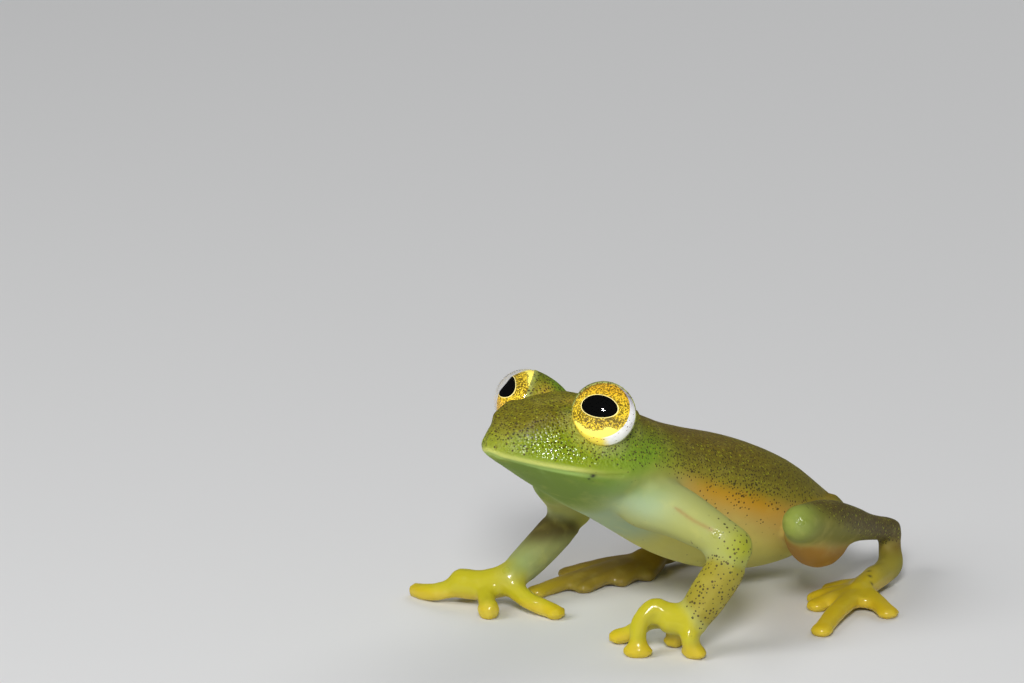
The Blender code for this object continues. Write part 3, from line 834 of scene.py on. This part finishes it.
def white_finish(side):
    finish = Finish("eye_white_" + side)
    place = eye_place(finish, side)
    x, y = eye_axes(finish, place)
    cloud = finish.noise(place, scale=3.0)
    silver = finish.mix(EYE_YELLOW, SILVER, finish.rise(x + 0.3 * cloud, 0.45, 0.95))
    # painted shade: the white turns greyer toward the top
    silver = finish.mix(silver, SILVER_IN_PAINTED_SHADE, finish.rise(y, 0.1, 1.1))
    cells = finish.node("ShaderNodeTexVoronoi", {}, {"Vector": place, "Scale": 5.0})
    specks = (1 - finish.rise(cells, 0.17, 0.27)) * finish.rise(cloud, 0.40, 0.46)
    colour = finish.mix(silver, SPECK_BROWN, 0.85 * specks)
    shader = finish.node("ShaderNodeBsdfPrincipled", {}, {
        "Base Color": colour, "Roughness": 0.35, "Specular IOR Level": 0.2,
        # painted light: the white glows a little in its own colour
        "Emission Color": colour, "Emission Strength": 0.30,
    })
    return finish.surface(shader)


def pupil_finish():
    finish = Finish("pupil")
    shader = finish.node("ShaderNodeBsdfPrincipled", {}, {
        "Base Color": PUPIL_BLACK, "Roughness": 0.8, "Specular IOR Level": 0.0,
    })
    return finish.surface(shader)


def window_finish():
    """
    Clear and wet: what is behind shows straight through, and the surface adds only its shine, which
    grows toward the edge as on water. The shine is worked out from the tilt alone, because a sum with
    the bending of light would also mirror the iris inside the far wall.
    """
    finish = Finish("clear_window")
    clear = finish.node("ShaderNodeBsdfTransparent")
    gloss = finish.node("ShaderNodeBsdfGlossy", {}, {"Color": (1, 1, 1, 1), "Roughness": 0.012})
    tilt = finish.node("ShaderNodeLayerWeight", {}, {"Blend": 0.5}, output=1)
    shine = STRAIGHT_SHINE + (1 - STRAIGHT_SHINE) * tilt ** 5
    return finish.surface(finish.node("ShaderNodeMixShader", {}, {0: shine, 1: clear, 2: gloss}))


pupil_black = pupil_finish()
clear_window = window_finish()
for side in GAZE:
    finishes = [iris_finish(side), white_finish(side), pupil_black]
    ball = placed_piece("eyeball_" + side, eyeball_shape(), side, finishes)
    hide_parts("eye_" + side)
    wet_window = placed_piece("eye_window_" + side, window_shape(), side, [clear_window])
    print("made", ball.name, "and", wet_window.name)

# %% [markdown]
# ## Where each colour lies
# A glass frog's skin changes from olive back to clear green cheek, pale belly and yellow hands, with
# soft edges that follow the body and not any flat picture. So the colours are laid on the points of
# the skin by rules: how high a point lies, which part of the body is nearest, and how far it is from a
# landmark. Height is counted from -1 at the belly line over 0 at the side line to 1 at the back line,
# so one rule serves for the thick chest and the thin rump. The result is a colour attribute. Fine
# freckles come later, in the material, and only their density is laid on the points here.
# A few of the colours are not the skin's own: they are painted shade and one painted highlight, and
# each is marked where it is laid.

# %% Measure where every point lies
STATIONS = (-13.0, -12.3, -11.1, -8.3, -5.5, -1.3, 1.5, 4.1, 6.7, 8.9, 11.5)
BACK_LINE = (11.0, 11.8, 12.3, 12.7, 12.0, 10.1, 9.1, 8.3, 7.0, 5.5, 3.6)
SIDE_LINE = (10.6, 10.4, 10.1, 9.4, 8.9, 7.2, 6.1, 5.05, 4.3, 3.75, 3.1)
BELLY_LINE = (10.3, 9.7, 8.8, 7.0, 5.5, 3.0, 1.9, 1.2, 1.05, 1.45, 2.6)
HANDS = ("hand_left", "hand_right")
FEET = ("foot_left", "foot_right")


def soft(values, low, high):
    """0 below low, 1 above high, and a soft step between."""
    share = np.clip((values - low) / (high - low), 0, 1)
    return share * share * (3 - 2 * share)


nearest = part_distances(points).argmin(axis=1)


def part(nodes, rounds=14):
    """A soft mask of the points that are nearest to some of the solids."""
    chosen = [FLESH.index(node) for node in nodes]
    return blurred(np.isin(nearest, chosen), edges, rounds)


along = points[:, 1]
back_line = np.interp(along, STATIONS, BACK_LINE)
side_line = np.interp(along, STATIONS, SIDE_LINE)
belly_line = np.interp(along, STATIONS, BELLY_LINE)
rise = points[:, 2] - side_line
height = np.where(rise > 0, rise / (back_line - side_line), rise / (side_line - belly_line))
shank_rise = rise + 0.2 * along
trunk = part(("head", "torso"))
hands = part(HANDS)
feet = part(FEET)
print("over the side line the skin runs", np.round([height.min(), height.max()], 2))

# %% Lay the colours on the body and the head
OLIVE = shade(0.47, 0.43, 0.03)
BACK_BROWN = shade(0.45, 0.36, 0.03)
CROWN = shade(0.49, 0.46, 0.03)
LIME = shade(0.54, 0.62, 0.07)
LEAF = shade(0.50, 0.64, 0.08)
LIP_CREAM = shade(0.86, 0.88, 0.46)
LIP_BLUE = shade(0.66, 0.78, 0.42)
THROAT = shade(0.42, 0.53, 0.11)
CHEST = shade(0.66, 0.74, 0.58)
ORANGE = shade(0.86, 0.64, 0.08)
PINK = shade(0.82, 0.72, 0.38)
BELLY = shade(0.80, 0.78, 0.38)
FLANK = shade(0.60, 0.56, 0.10)
SHOULDER = shade(0.66, 0.66, 0.14)
SNOUT = shade(0.58, 0.62, 0.14)
ORBIT_GREEN = shade(0.42, 0.64, 0.06)
ORBIT_YELLOW = shade(0.84, 0.70, 0.16)

tint = np.tile(np.array(BELLY[:3]), (len(points), 1))


def lay(colour, share):
    """Blends a colour over the skin by a share for every point."""
    global tint
    share = np.clip(share, 0, 1)[:, None]
    tint = tint + (np.array(colour[:3]) - tint) * share


head = 1 - soft(along, -7.2, -4.8)
lay(PINK, soft(height, -0.75, -0.15))
lay(ORANGE, soft(height, -0.35, 0.05) * soft(along, -4.0, -1.0) * (1 - soft(along, 2.0, 5.5)))
lay(FLANK, soft(height, -0.10, 0.30))
lay(OLIVE, soft(height, 0.15, 0.60))
lay(BACK_BROWN, soft(height, 0.45, 1.0) * (1 - soft(along, 1.0, 6.0)) * 0.7)
lay(SHOULDER, patch(points, centre=(4.3, -4.6, 8.6), size=(1.6, 1.2, 0.9)) * 0.8)
chest = soft(along, -8.6, -6.4) * (1 - soft(along, -4.6, -2.2))
lay(CHEST, (1 - soft(height, -0.55, -0.15)) * chest)
lay(LIME, head * soft(height, -0.30, 0.0))
lay(THROAT, head * (1 - soft(height, -0.22, -0.02)) * (1 - soft(along, -8.2, -5.8)))
lay(LEAF, patch(folded(points), centre=(4.1, -5.9, 9.9), size=(1.5, 2.2, 1.2)))
lay(CROWN, head * soft(height, 0.45, 0.9))
lay(SNOUT, patch(points, centre=(0, -12.9, 10.9), size=(1.6, 0.9, 0.7)))
lay(ORBIT_GREEN, 0.8 * patch(folded(points), centre=(1.5, -6.6, 12.7), size=(0.9, 0.9, 0.6)))
lay(ORBIT_YELLOW, 0.9 * patch(folded(points), centre=(1.5, -8.0, 12.6), size=(0.55, 0.75, 0.5)))
print("body and head coloured")

# %% Lay the lips, the lids, the painted shade round the orbits and the painted highlight on the throat
LID_RIM = shade(0.84, 0.86, 0.50)
ORBIT_PAINTED_SHADE = shade(0.40, 0.50, 0.03)
MOUTH_DOT = shade(0.06, 0.05, 0.02)
NOSTRIL_BROWN = shade(0.30, 0.14, 0.04)
THROAT_HIGHLIGHT_LINE = ((2.0, -11.37, 9.66), (1.75, -10.6, 8.9), (1.42, -9.7, 8.08))
MOUTH_DOTS = (((3.58, -9.15, 9.25), 0.11), ((3.47, -9.33, 9.10), 0.06), ((3.50, -9.17, 8.92), 0.06))

gap, above = from_mouth(points, np.full(len(points), True))
front = 1 - soft(along, -10.4, -8.4)
upper_lip = soft(above, 0.02, 0.14) * (1 - soft(above, 0.16, 0.46)) * (1 - soft(gap, 0.30, 0.62))
lower_lip = bell(above + 0.05, 0.14) * (1 - soft(gap, 0.15, 0.3))
lay(LIP_CREAM, upper_lip * (0.12 + 0.68 * front))
lay(LIP_BLUE, lower_lip * (0.1 + 0.55 * front))
# painted highlight: a pale line along the fold of the throat, where wet skin catches the light
throat_highlight_gap = nearest_on(both_sides(smooth_line(THROAT_HIGHLIGHT_LINE)), points)[0]
lay(LIP_BLUE, 0.3 * bell(throat_highlight_gap, 0.10))
lids = np.zeros(len(points))
for side in GAZE:
    far, turn = around_eye(side, points)[1:]
    rim = (1 - soft(far - EYE_RADIUS, 0.04, 0.16)) * (1 - soft(turn, 86, 98))
    lids = np.maximum(lids, rim)
    # painted shade: the skin round the orbit is darkened where it faces the flash
    lay(ORBIT_PAINTED_SHADE, (1 - soft(far - EYE_RADIUS, 0.1, 0.8)) * (1 - soft(turn, 96, 125)) * 0.5)
lay(LID_RIM, lids * 0.5)
for place, size in MOUTH_DOTS:
    lay(MOUTH_DOT, patch(folded(points), place, (size, 1.4 * size, 0.8 * size)) * 1.2)
for nostril in NOSTRILS:
    lay(NOSTRIL_BROWN, patch(points, nostril, (0.05, 0.10, 0.09)))
print("lips, lids and nostrils coloured")

# %% Lay the colours on the limbs, with painted shade on the far forearm and the far foot
ARM = shade(0.67, 0.68, 0.37)
ELBOW = shade(0.64, 0.66, 0.10)
FOREARM = shade(0.62, 0.57, 0.14)
HAND = shade(0.75, 0.71, 0.03)
PAD = shade(0.85, 0.72, 0.02)
KNEE = shade(0.56, 0.63, 0.28)
SHANK = shade(0.36, 0.31, 0.04)
THIGH = shade(0.62, 0.44, 0.02)
FOOT = shade(0.80, 0.71, 0.04)
SHOULDER_GREEN = shade(0.48, 0.60, 0.28)
FAR_FOREARM = shade(0.56, 0.58, 0.34)
FAR_FOREARM_PAINTED_SHADOW = shade(0.34, 0.30, 0.12)
VESSEL_RED = shade(0.62, 0.40, 0.20)
SHANK_SIDE = shade(0.46, 0.45, 0.06)
TARSUS = shade(0.42, 0.31, 0.05)
HEEL = shade(0.58, 0.55, 0.18)
FAR_WRIST = shade(0.56, 0.62, 0.36)
SOLE = shade(0.62, 0.57, 0.16)
FAR_FOOT_PAINTED_SHADE = shade(0.46, 0.38, 0.06)
FOOT_DOT = shade(0.16, 0.13, 0.02)
VESSEL = ((6.10, -5.68, 7.41), (7.01, -5.43, 6.92), (8.01, -4.97, 6.50))
FOOT_DOTS = ((6.42, 8.25, 1.42), (6.86, 7.88, 1.31), (7.26, 7.62, 1.01))

upper_arms = part(("upper_arm_left", "upper_arm_right"), rounds=24)
lay(ARM, upper_arms)
lay(CHEST, 0.9 * patch(folded(points), centre=(4.3, -6.3, 7.4), size=(1.7, 1.8, 1.0)))
lay(THROAT, 0.9 * patch(points, centre=(-3.3, -6.3, 6.3), size=(1.0, 1.0, 1.0)))
lay(SHOULDER_GREEN, 0.8 * patch(folded(points), centre=(4.3, -7.2, 8.3), size=(1.4, 1.6, 0.6)))
lay(FOREARM, part(("forearm_left",)))
lay(FAR_FOREARM, part(("forearm_right",)))
# painted shadow: the upper end of the far forearm, under the throat, is darkened
lay(FAR_FOREARM_PAINTED_SHADOW, part(("forearm_right",)) * soft(points[:, 2], 2.9, 3.8))
lay(VESSEL_RED, 0.55 * bell(nearest_on(smooth_line(VESSEL), points)[0], 0.10))
lay(ELBOW, patch(points, centre=(9.3, -4.0, 5.6), size=(1.1, 1.1, 1.0)))
lay(ELBOW, patch(points, centre=(-5.4, -1.9, 4.5), size=(1.0, 1.0, 0.9)))
thighs = part(("thigh_left", "thigh_right"), rounds=20)
lay(THIGH, thighs)
lay(OLIVE, thighs * soft(points[:, 2], 3.7, 4.4) * soft(along, 5.5, 7.5))
shanks = part(("shank_left", "shank_right"), rounds=12)
lay(SHANK_SIDE, shanks)
lay(SHANK, shanks * soft(shank_rise, 0.4, 1.6))
lay(KNEE, patch(folded(points), centre=(9.2, 0.1, 6.2), size=(1.0, 1.1, 1.1)))
tarsi = part(("tarsus_left", "tarsus_right"))
lay(TARSUS, tarsi)
lay(HEEL, tarsi * (1 - soft(points[:, 2], 1.2, 2.2)))
lay(HAND, hands)
lay(FAR_WRIST, 0.8 * patch(points, centre=(-4.3, -6.9, 2.5), size=(0.8, 1.2, 0.8)))
lay(FOOT, feet)
lay(SOLE, np.clip(feet + tarsi, 0, 1) * bell(along - 9.6, 1.3) * (points[:, 0] > 0))
# painted shade: the far foot, which lies under the belly, is darkened
lay(FAR_FOOT_PAINTED_SHADE, 0.85 * part(("foot_right",)) * soft(along, -6.5, -1.5))
for place in FOOT_DOTS:
    lay(FOOT_DOT, patch(points, place, (0.11, 0.11, 0.11)))
low = (1 - soft(points[:, 2], 0.5, 1.1)) * np.clip(hands + feet, 0, 1)
lay(PAD, low * 0.6 * (1 - part(("foot_right",))))
print("limbs coloured")

# %% Lay the densities of the freckles and the wet
CHEEK = {"centre": (2.6, -10.1, 10.6), "size": (2.1, 2.8, 1.3)}
ELBOW_SPOTS = {"centre": (9.2, -4.1, 5.3), "size": (1.5, 1.5, 1.3)}
BARE_SNOUT = {"centre": (0, -12.9, 10.7), "size": (1.2, 0.8, 0.5)}
DRY = 0.02
WET_SPOTS = (
    {"centre": (8.25, -4.92, 6.33), "size": 0.45, "grain": 0.8},
    {"centre": (9.69, -0.23, 6.37), "size": 0.45, "grain": 0.9},
    {"centre": (-4.67, -7.53, 2.23), "size": 0.40, "grain": 0.0},
)

freckles = trunk * soft(height, -0.05, 0.45) * (1 - 0.55 * soft(along, 2.0, 8.0))
freckles = np.maximum(freckles, head * soft(height, 0.25, 0.6))
freckles = np.maximum(freckles, 0.35 * head * soft(height, 0.02, 0.2) * soft(along, -11.6, -10.4))
freckles = np.maximum(freckles, shanks * soft(shank_rise, 0.4, 1.4))
freckles *= 1 - 0.9 * patch(points, **BARE_SNOUT)
spots = 1.2 * part(("forearm_left",), rounds=6)
spots += 1.1 * patch(points, **ELBOW_SPOTS)
spots = np.maximum(spots, trunk * bell(height - 0.08, 0.22) * soft(along, -4.5, -1.5))
cheek = patch(folded(points), **CHEEK) * soft(above, 0.1, 0.25)
wet = DRY + 1.3 * cheek
grain = head * soft(height, 0.0, 0.12) + 0.25 * trunk * soft(height, -0.1, 0.3)
for spot in WET_SPOTS:
    blot = patch(points, spot["centre"], (spot["size"],) * 3)
    wet = np.maximum(wet, blot)
    grain = np.maximum(grain, spot["grain"] * blot)


def write_attribute(mesh, name, values):
    kind = "FLOAT_COLOR" if np.ndim(values) == 2 else "FLOAT"
    layer = mesh.attributes.new(name, kind, "POINT")
    if kind == "FLOAT_COLOR":
        values = np.concatenate([values, np.ones((len(values), 1))], axis=1)
        layer.data.foreach_set("color", values.astype(np.float32).ravel())
    else:
        layer.data.foreach_set("value", np.clip(values, 0, 1).astype(np.float32))


masks = {
    "tint": tint, "freckles": freckles, "spots": spots,
    "wet": wet, "grain": grain, "digits": hands + feet,
}
for name, values in masks.items():
    write_attribute(skin.data, name, values)
print("masks:", ", ".join(masks))

# %% [markdown]
# ## The finish of the skin
# Live skin is moist, so it has a soft broad shine and small hard glints, and light sinks a little way
# into it and comes out warmer. The freckles stand in cells, which share out the skin between points
# scattered at random. Each cell may hold one round dot at its middle, so dots never touch, as pigment
# spots don't. A cell's own random number is set against the density laid on the skin, which thins the
# dots out softly toward the flank. The fine grain of the cheek is a bump of small cones, each with a
# steepness of its own, so that some of them always face the flash. Wet skin is given a smoother
# surface and not a coat, because a coat ignores the bump. Only the hands and feet, which have no
# grain, shine with a coat.

# %% Set dots at random in the skin
def dots(finish, place, per_mm, radius, density, seed=0.0):
    """Round dots at the middle of some cells: radius is in cells, density from 0 to 1."""
    sockets = {0: place, 1: (seed, seed, seed)}
    shifted = finish.node("ShaderNodeVectorMath", {"operation": "ADD"}, sockets)
    sockets = {"Vector": shifted, "Scale": per_mm, "Randomness": 0.75}
    cells = finish.node("ShaderNodeTexVoronoi", {}, sockets)
    number = finish.node("ShaderNodeTexVoronoi", {}, sockets, output=1)
    chance = finish.node("ShaderNodeSeparateColor", {}, {"Color": number})
    size = finish.node("ShaderNodeSeparateColor", {}, {"Color": number}, output=1)
    edge = radius * (0.7 + 0.6 * size)
    held = finish.rise(density - chance, -0.02, 0.05)
    return (1 - finish.rise(cells - edge, -0.05, 0.05)) * held


print("dots can be set by their number, size and density")

# %% Make the skin material
PALE_CLOUD = shade(0.92, 0.88, 0.46)
SHADOW_BROWN = shade(0.20, 0.15, 0.02)
YELLOW_FLECK = shade(0.66, 0.68, 0.10)
BLACK_FRECKLE = shade(0.11, 0.11, 0.02)
RED_FRECKLE = shade(0.26, 0.13, 0.02)
DRY_ROUGHNESS = 0.74
WET_SMOOTHING = 0.64
GRAINS_PER_MM = 6.5
GRAIN_DEPTH = 0.00006


def skin_finish():
    finish = Finish("skin")
    place = finish.node("ShaderNodeTexCoord", output=3)
    place = finish.node("ShaderNodeVectorMath", {"operation": "SCALE"}, {0: place, 3: 1 / MM})
    freckles = finish.attribute("freckles")
    spots = finish.attribute("spots")
    grain = finish.attribute("grain")
    wet = finish.attribute("wet")
    digits = finish.attribute("digits")
    cloud = finish.noise(place, scale=0.9, detail=3.0)
    mottle = finish.noise(place, scale=4.0, detail=3.0, roughness=0.6)
    tint = finish.attribute("tint", output=0)
    lighter = finish.mix(tint, PALE_CLOUD, finish.rise(cloud, 0.5, 0.8) * 0.14)
    shadowed = finish.mix(tint, SHADOW_BROWN, 0.45)
    colour = finish.mix(lighter, shadowed, finish.rise(mottle, 0.46, 0.75) * freckles * 0.7)
    flecks = dots(finish, place, per_mm=5.0, radius=0.28, density=freckles * 0.6, seed=7.3)
    colour = finish.mix(colour, YELLOW_FLECK, flecks * 0.7)
    fine = dots(finish, place, per_mm=7.0, radius=0.33, density=1.15 * freckles)
    coarse = dots(finish, place, per_mm=5.2, radius=0.28, density=spots, seed=3.1)
    seldom = (1 - spots) * freckles * 0.5 + 0.03
    rare = dots(finish, place, per_mm=3.4, radius=0.15, density=seldom, seed=5.7)
    dark = finish.larger(finish.larger(fine, coarse), rare * (1 - digits))
    freckle = finish.mix(BLACK_FRECKLE, RED_FRECKLE, finish.rise(mottle, 0.42, 0.58))
    colour = finish.mix(colour, freckle, dark * 0.85)
    sockets = {"Vector": place, "Scale": GRAINS_PER_MM}
    cone = 0.6 - finish.node("ShaderNodeTexVoronoi", {}, sockets)
    number = finish.node("ShaderNodeTexVoronoi", {}, sockets, output=1)
    steep = finish.node("ShaderNodeSeparateColor", {}, {"Color": number})
    relief = grain * cone * (0.35 + 0.9 * steep) + 0.08 * mottle
    sockets = {"Strength": 1.0, "Distance": GRAIN_DEPTH, "Height": relief}
    shader = finish.node("ShaderNodeBsdfPrincipled", {}, {
        "Base Color": colour,
        "Roughness": DRY_ROUGHNESS - WET_SMOOTHING * wet,
        "Normal": finish.node("ShaderNodeBump", {}, sockets),
        "IOR": 1.58,
        "Specular IOR Level": 0.55,
        "Subsurface Weight": 0.22,
        "Subsurface Scale": 0.0005,
        "Subsurface Radius": (1.0, 0.8, 0.25),
        "Coat Weight": 0.35 * digits,
        "Coat Roughness": 0.12,
        "Coat IOR": 1.7,
    })
    return finish.surface(shader)


skin.data.materials.clear()
skin.data.materials.append(skin_finish())
print("skin finished with", skin.data.materials[0].name)

# %% [markdown]
# ## Hand the skin over
# The skin was shaped in millimetres, so its mesh is scaled down and not its object, which stays
# unscaled at the origin. It rides on the one body and takes the place of every flesh solid, which are
# hidden.

skin.data.transform(Matrix.Scale(MM, 4))
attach(skin, "root")
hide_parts(*FLESH)
print("the skin stands for", len(FLESH), "solids")
